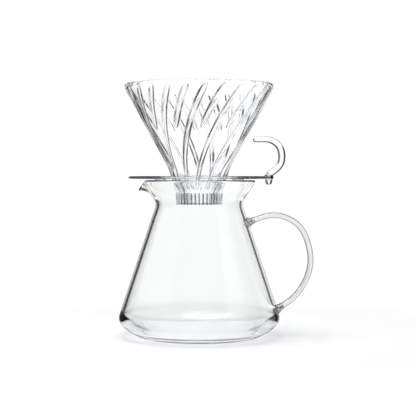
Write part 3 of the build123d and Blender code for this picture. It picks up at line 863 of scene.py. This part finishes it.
def plate_pad(azimuth):
    """Round-ended pad under the plate, long side along the radius, just clear of the server rim."""
    turn = np.linspace(-math.pi / 2, math.pi / 2, 13)
    half = [(PAD_HALF_LENGTH + PAD_HALF_WIDTH * math.cos(t), PAD_HALF_WIDTH * math.sin(t))
            for t in turn]
    loop = half + [(-x, -y) for x, y in half]
    count = len(loop)
    cos, sin = math.cos(azimuth), math.sin(azimuth)
    levels = ((RIM_TOP_Z + 0.03, 0.92), (RIM_TOP_Z + 0.2, 1.0), (PLATE_BOTTOM + 0.3, 1.0))
    verts, faces = [], []
    for z, scale in levels:
        for x, y in loop:
            x, y = x * scale, y * scale
            verts.append((PAD_CENTRE_RADIUS * cos + x * cos - y * sin,
                          PAD_CENTRE_RADIUS * sin + x * sin + y * cos, z))
    for level in range(2):
        here, above = level * count, (level + 1) * count
        for k in range(count):
            following = (k + 1) % count
            faces.append((here + k, here + following, above + following, above + k))
    faces.append(tuple(range(count))[::-1])
    faces.append(tuple(range(2 * count, 3 * count)))
    return new_object("pad", verts, faces)


def build_plate(material):
    plate = plate_body()
    combine(plate, plate_ear(), "UNION")
    for quarter in range(4):
        combine(plate, plate_pad(math.radians(45 + 90 * quarter)), "UNION")
    hole_radius = STEM_RADIUS + 0.02
    hole = lathe("hole", [(0.4, 118.0), (hole_radius, 118.0), (hole_radius, 130.0), (0.4, 130.0)],
                 48, centre_x=STEM_X)
    combine(plate, hole, "DIFFERENCE")
    mark_sharp(plate, 40)
    hand_over(plate, material, "dripper_base", "base_plate")


# ------------------------------------------------------------------ hooked handle
# middle line as (x, z), from the free tip down to the seat on the ear
HOOK_LINE = [(43.9, 153.1), (49.9, 153.3), (54.7, 152.9), (59.2, 150.9), (62.6, 147.2),
             (64.1, 142.9), (64.3, 138.6), (63.3, 134.4), (60.7, 130.8), (57.6, 128.3),
             (55.0, 126.4)]
# shares of the way along it, and the radius there
HOOK_STATIONS = [0, 0.12, 0.28, 0.42, 0.56, 0.70, 0.84, 1.0]
HOOK_RADII = [2.2, 2.35, 2.6, 2.85, 2.95, 2.9, 2.8, 2.6]
HOOK_SAMPLES = 100
TIP_CAP, SEAT_CAP = HOOK_RADII[0], 1.9      # lengths of the rounded ends
STEM_SLOT_HALF = 0.35


def end_rounding(distance, cap):
    """Share of the full radius at this distance from a rounded end."""
    inward = np.clip(1 - distance / cap, 0, 1)
    return np.sqrt(np.clip(1 - inward**2, 0, 1))


def hook_rod():
    path = spline(HOOK_LINE, HOOK_SAMPLES, start=(1, 0), end=(-0.80, -0.60))
    radius = np.interp(np.linspace(0, 1, HOOK_SAMPLES), HOOK_STATIONS, HOOK_RADII)
    # short straight runs beyond both ends make room for the rounding
    tip = path[0][None, :] - np.array([[1.0, 0.0]]) * np.linspace(TIP_CAP, 0.1, 12)[:, None]
    seat = path[-1] + unit(path[-1] - path[-2]) * np.linspace(0.15, SEAT_CAP, 8)[:, None]
    radius = np.concatenate([np.full(12, HOOK_RADII[0]), radius, np.full(8, HOOK_RADII[-1])])
    path = np.concatenate([tip, path, seat])
    along = np.concatenate([[0], np.cumsum(np.linalg.norm(path[1:] - path[:-1], axis=1))])
    rounding = end_rounding(along, TIP_CAP) * end_rounding(along[-1] - along, SEAT_CAP)
    radius = radius * np.maximum(rounding, 0.02)
    return tube("dripper_handle_plastic", path, radius, radius, 56)


def hook_stem():
    """Slotted pin through the ear, barbed below it and with a low flange on top."""
    seat = SEAT_Z + 0.02
    fit = STEM_RADIUS - 0.01
    barb, flange = STEM_RADIUS + 0.1, STEM_RADIUS + 0.35
    outline = join(
        line((0.4, PLATE_BOTTOM - 4.68), (1.0, PLATE_BOTTOM - 4.55), 2),
        spline([(1.0, PLATE_BOTTOM - 4.55), (STEM_RADIUS * 0.74, PLATE_BOTTOM - 4.1),
                (barb, PLATE_BOTTOM - 2.6)], 8),
        line((barb, PLATE_BOTTOM - 2.6), (flange, PLATE_BOTTOM - 0.5), 3),
        line((flange, PLATE_BOTTOM - 0.5), (fit, PLATE_BOTTOM - 0.02), 2),
        line((fit, PLATE_BOTTOM - 0.02), (fit, seat), 3),
        line((fit, seat), (STEM_RADIUS + 0.3, seat), 2),
        arc((STEM_RADIUS + 0.3, seat), (STEM_RADIUS + 0.34, SEAT_Z + 0.04),
            (flange, SEAT_Z + 0.1), 3),
        line((flange, SEAT_Z + 0.1), (flange, SEAT_Z + 0.7), 3),
        arc((flange, SEAT_Z + 0.7), (STEM_RADIUS + 0.27, SEAT_Z + 0.92),
            (STEM_RADIUS + 0.05, SEAT_Z + 1.0), 4),
        line((STEM_RADIUS + 0.05, SEAT_Z + 1.0), (0.4, SEAT_Z + 1.0), 3),
    )
    stem = lathe("stem", outline, 56, centre_x=STEM_X)
    corners = ((-1, -1), (1, -1), (1, 1), (-1, 1))
    verts = [(STEM_X + x * STEM_SLOT_HALF, y * 5, z)
             for z in (117, PLATE_BOTTOM - 0.3) for x, y in corners]
    faces = [(0, 3, 2, 1), (4, 5, 6, 7), (0, 1, 5, 4), (1, 2, 6, 5), (2, 3, 7, 6), (3, 0, 4, 7)]
    combine(stem, new_object("slot", verts, faces), "DIFFERENCE")
    return stem


def build_hook(material):
    hook = hook_rod()
    # cut the rod off flat just above the ear
    low, high = SEAT_Z - 6, SEAT_Z + 0.02
    trim = lathe("trim", [(0.5, low), (9.0, low), (9.0, high), (0.5, high)], 48, centre_x=STEM_X)
    combine(hook, trim, "DIFFERENCE")
    combine(hook, hook_stem(), "UNION")
    mark_sharp(hook, 42)
    hand_over(hook, material, "dripper_base", "dripper_handle")


# ------------------------------------------------------------------ gasket
def build_gasket(material):
    outline = join(
        line((14.04, 104.4), (14.04, 103.9), 3),
        arc((14.04, 103.9), (14.09, 103.77), (14.22, 103.72), 4),
        line((14.22, 103.72), (15.42, 103.72), 4),
        arc((15.42, 103.72), (15.55, 103.77), (15.6, 103.9), 4),
        line((15.6, 103.9), (15.6, 104.35), 3),
        arc((15.6, 104.35), (15.53, 104.51), (15.37, 104.58), 4),
        line((15.37, 104.58), (14.22, 104.58), 4),
        arc((14.22, 104.58), (14.09, 104.53), (14.045, 104.42), 4))
    gasket = lathe("neck_gasket_silicone", outline, 192, closed=True)
    hand_over(gasket, material, "gasket", "neck_gasket")


# ------------------------------------------------------------------ lock ring
RING_TOP, RING_BOTTOM = 111.3, 102.6
LEDGE_Z = 103.7                         # top of the inward ledge at the bottom
UPPER_TIER_BOTTOM, LOWER_TIER_TOP = 106.4, 106.0
KNURL_RADIUS = 0.75
RING_STEPS = 900


def ring_wall(z):
    """Outside radius without the knurls."""
    return 17.7 - 0.5 * (RING_TOP - z) / (RING_TOP - RING_BOTTOM)


def knurl(radius, azimuth):
    """Row of round ribs centred just under the ring's wall."""
    off = (azimuth * KNURL_COUNT / (2 * math.pi) + 0.5) % 1.0 - 0.5
    across = off * 2 * math.pi / KNURL_COUNT * radius
    rib = np.sqrt(np.clip(KNURL_RADIUS**2 - across**2, 0, None)) - 0.05
    return np.where(np.abs(across) < KNURL_RADIUS, rib, 0.0).clip(0)


def knurl_share(z):
    """Height of the knurls at this z: two tiers, each tapering off at both ends."""
    if UPPER_TIER_BOTTOM <= z <= RING_TOP - 0.3:
        return min(1.0, (z - UPPER_TIER_BOTTOM) / 0.35, (RING_TOP - 0.2 - z) / 0.35 + 0.15)
    if RING_BOTTOM + 0.4 <= z <= LOWER_TIER_TOP:
        return 0.92 * min(1.0, (z - RING_BOTTOM - 0.4) / 0.3 + 0.1,
                          (LOWER_TIER_TOP - z) / 0.35 + 0.02)
    return 0.0


def build_ring(material):
    azimuth = full_turn(RING_STEPS)
    foot = ring_wall(RING_BOTTOM)
    # (radius, z) under the ring and over the inward ledge
    ledge = [(foot - 0.15, RING_BOTTOM + 0.1), (foot - 0.35, RING_BOTTOM), (16.0, RING_BOTTOM),
             (14.7, RING_BOTTOM), (14.42, RING_BOTTOM + 0.1), (14.35, RING_BOTTOM + 0.3),
             (14.35, 103.5), (14.45, 103.68), (14.7, LEDGE_Z), (15.5, LEDGE_Z), (16.2, LEDGE_Z)]
    top = [(16.5, RING_TOP - 0.08), (16.7, RING_TOP), (17.2, RING_TOP), (17.5, RING_TOP),
           (17.65, RING_TOP - 0.1)]
    rows = [(ring_wall(z) + knurl(ring_wall(z), azimuth) * knurl_share(z), z)
            for z in np.linspace(RING_TOP - 0.25, RING_BOTTOM + 0.3, 64)]
    rows += ledge
    # the ring's thread runs half a pitch off the collar's
    rows += [(16.35 - THREAD_DEPTH * thread_tooth(z, azimuth, THREAD_START + THREAD_PITCH / 2), z)
             for z in np.linspace(LEDGE_Z, RING_TOP - 0.25, THREAD_ROWS)]
    rows += top
    radius = np.stack([row_radius * np.ones(RING_STEPS) for row_radius, z in rows])
    height = np.array([[z] for row_radius, z in rows])
    ring = grid_object("lock_ring_plastic", revolve(radius, height, azimuth), closed=True)
    hand_over(ring, material, "ring", "lock_ring")


# ------------------------------------------------------------------ studio
BACKDROP = 1.045                    # brightness of the lit backdrop, as the glass sees it
CARD_START, CARD_FULL = 0.26, 0.52  # sine of the angle off straight ahead where the cards begin, are full
LEFT_CARD = 1.25                    # the left card stands closer in
UP_SCALE, DOWN_SCALE = 0.8, 0.30    # cards above and below stand further out
LOW_CARD = 0.42                     # what is left of the side cards for rays that go down
RIGHT_BOX = 0.6                     # brightness of a tall soft box far round to the right


def studio_brightness(shader, direction):
    """Brightness of the studio for a ray direction: a bright backdrop straight ahead of the camera, black
    cards all round it, a dim room behind the camera. Backdrop and table top both use it, so they meet
    unseen. Also returns the upward part of the direction."""
    in_camera = shader.add("VectorTransform", {"Vector": direction}, vector_type="VECTOR",
                           convert_from="WORLD", convert_to="CAMERA").outputs["Vector"]
    parts = shader.split(shader.vector("NORMALIZE", in_camera))
    right, up, ahead = parts["X"], parts["Y"], parts["Z"]
    sideways = shader.math("MAXIMUM", right, shader.math("MULTIPLY", right, -LEFT_CARD))
    upright = shader.math("MAXIMUM", shader.math("MULTIPLY", up, UP_SCALE),
                          shader.math("MULTIPLY", up, -DOWN_SCALE))
    above_table = shader.ramp(up, between=(-0.34, -0.13), to=(LOW_CARD, 1.0))
    off_axis = shader.add("CombineXYZ", {"X": shader.math("MULTIPLY", sideways, above_table),
                                         "Y": upright}).outputs["Vector"]
    cards = shader.ramp(shader.vector("LENGTH", off_axis), between=(CARD_START, CARD_FULL),
                        to=(BACKDROP * 1.05, 0.065))
    room = shader.ramp(ahead, between=(-0.2, 0.4), to=(0.25, 1.0))
    surround = shader.math("MULTIPLY", cards, room)
    box_from = shader.ramp(right, between=(0.60, 0.70), to=(0.0, RIGHT_BOX))
    box_until = shader.ramp(right, between=(0.86, 0.94), to=(1.0, 0.0))
    box = shader.math("MULTIPLY", box_from, box_until)
    return shader.math("ADD", surround, box), up


def floor_paper():
    """White paper that mirrors the studio's cards when seen in or through the glass."""
    material, shader = new_material("floor_paper")
    geometry = shader.add("NewGeometry").outputs
    position = geometry["Position"]
    ray = shader.add("VectorMath", {0: geometry["Incoming"], "Scale": -1.0},
                     operation="SCALE").outputs["Vector"]
    studio, _ = studio_brightness(shader, ray)
    path = shader.add("LightPath").outputs
    via_glass = shader.math("MAXIMUM", path["Is Glossy Ray"], path["Is Transmission Ray"])
    far_level = shader.mix_number(via_glass, 1.0, studio)
    # painted shade: seen in or through the glass, the floor near the object is a tenth darker
    near_level = shader.mix_number(via_glass, 1.0, shader.math("MULTIPLY", studio, 0.90))
    bump = shader.add("Bump", {"Height": shader.noise(position, scale=300.0), "Strength": 0.04})
    paper = shader.add("BsdfDiffuse", {"Color": shader.math("MULTIPLY", near_level, 0.86),
                                       "Normal": bump.outputs["Normal"]})
    glow = shader.add("Emission", {"Strength": shader.math("MULTIPLY", near_level, 0.12)})
    near = shader.add("AddShader", {0: paper.outputs["BSDF"], 1: glow.outputs["Emission"]})
    # away from the object the floor melts into the white backdrop
    distance = shader.ramp(shader.vector("LENGTH", position), between=(0.10, 0.34))
    white = shader.add("Emission", {"Strength": shader.math("MULTIPLY", far_level, 1.02)})
    surface = shader.mix_shader(distance, near.outputs["Shader"], white.outputs["Emission"])
    shader.add("OutputMaterial", {"Surface": surface})
    return material


def build_floor():
    half = 6.0
    mesh = bpy.data.meshes.new("floor")
    corners = [(-half, -half, 0), (half, -half, 0), (half, half, 0), (-half, half, 0)]
    mesh.from_pydata(corners, [], [(0, 1, 2, 3)])
    floor = bpy.data.objects.new("floor", mesh)
    bpy.context.scene.collection.objects.link(floor)
    floor.location.z = -0.0003
    mesh.materials.append(floor_paper())


def build_world():
    """The studio as the glass sees it; the camera and diffuse rays get plain whites instead."""
    world = bpy.data.worlds.new("studio")
    bpy.context.scene.world = world
    shader = Shader(world)

    def white(strength):
        background = shader.add("Background", {"Color": (1, 1, 1), "Strength": strength})
        return background.outputs["Background"]

    direction = shader.add("TexCoord").outputs["Generated"]
    studio, up = studio_brightness(shader, direction)
    overhead_box = shader.ramp(up, between=(0.80, 0.92), to=(0.0, 0.9))
    path = shader.add("LightPath").outputs
    surface = white(shader.math("ADD", studio, overhead_box))
    surface = shader.mix_shader(path["Is Diffuse Ray"], surface, white(0.42))
    surface = shader.mix_shader(path["Is Camera Ray"], surface, white(1.05))
    shader.add("OutputWorld", {"Surface": surface})


def build_light():
    """Soft square light overhead, kept out of reflections."""
    location, target = Vector((-0.15, -0.1, 1.1)), Vector((0, 0, 0.05))
    data = bpy.data.lights.new("top_soft", "AREA")
    data.energy = 9.0
    data.size = 0.9
    light = bpy.data.objects.new("top_soft", data)
    bpy.context.scene.collection.objects.link(light)
    light.location = location
    light.rotation_mode = "QUATERNION"
    light.rotation_quaternion = (target - location).to_track_quat("-Z", "Y")
    light.visible_glossy = False


CAMERA_LOCATION = (0.0, -0.907, 0.124)
CAMERA_LENS, CAMERA_SENSOR = 100.730769, 36.0   # mm
CAMERA_DOWN = 1.5255579                         # degrees below level
CAMERA_RIGHT = 0.43315572                       # degrees right of +Y


def build_camera():
    scene = bpy.context.scene
    data = bpy.data.cameras.new("camera")
    camera = bpy.data.objects.new("camera", data)
    scene.collection.objects.link(camera)
    scene.camera = camera
    data.sensor_width = CAMERA_SENSOR
    data.lens = CAMERA_LENS
    data.clip_start, data.clip_end = 0.01, 50
    camera.location = CAMERA_LOCATION
    camera.rotation_mode = "XYZ"
    camera.rotation_euler = (math.radians(90 - CAMERA_DOWN), 0, -math.radians(CAMERA_RIGHT))


def set_render():
    scene = bpy.context.scene
    scene.view_settings.view_transform = "Standard"
    scene.view_settings.look = "None"
    scene.view_settings.exposure = 0.0
    cycles = scene.cycles
    # many bounces, since light crosses several clear walls
    cycles.max_bounces = 24
    cycles.transmission_bounces = 20
    cycles.glossy_bounces = 8
    cycles.diffuse_bounces = 3
    cycles.transparent_max_bounces = 32
    cycles.volume_bounces = 0
    cycles.caustics_refractive = True
    cycles.caustics_reflective = False
    cycles.sample_clamp_indirect = 4.0
    cycles.blur_glossy = 0.3
    cycles.use_denoising = True
    cycles.seed = 7


# ------------------------------------------------------------------ assembly
strap_path = spline(STRAP_LINE, 120)
build_server(server_glass())
build_strap(strap_path, strap_glass())
build_welds(strap_path, weld_glass())
build_cone(cone_glass())
build_plate(plate_plastic())
build_hook(hook_plastic())
build_gasket(silicone())
build_ring(ring_plastic())
build_floor()
build_world()
build_light()
build_camera()
set_render()
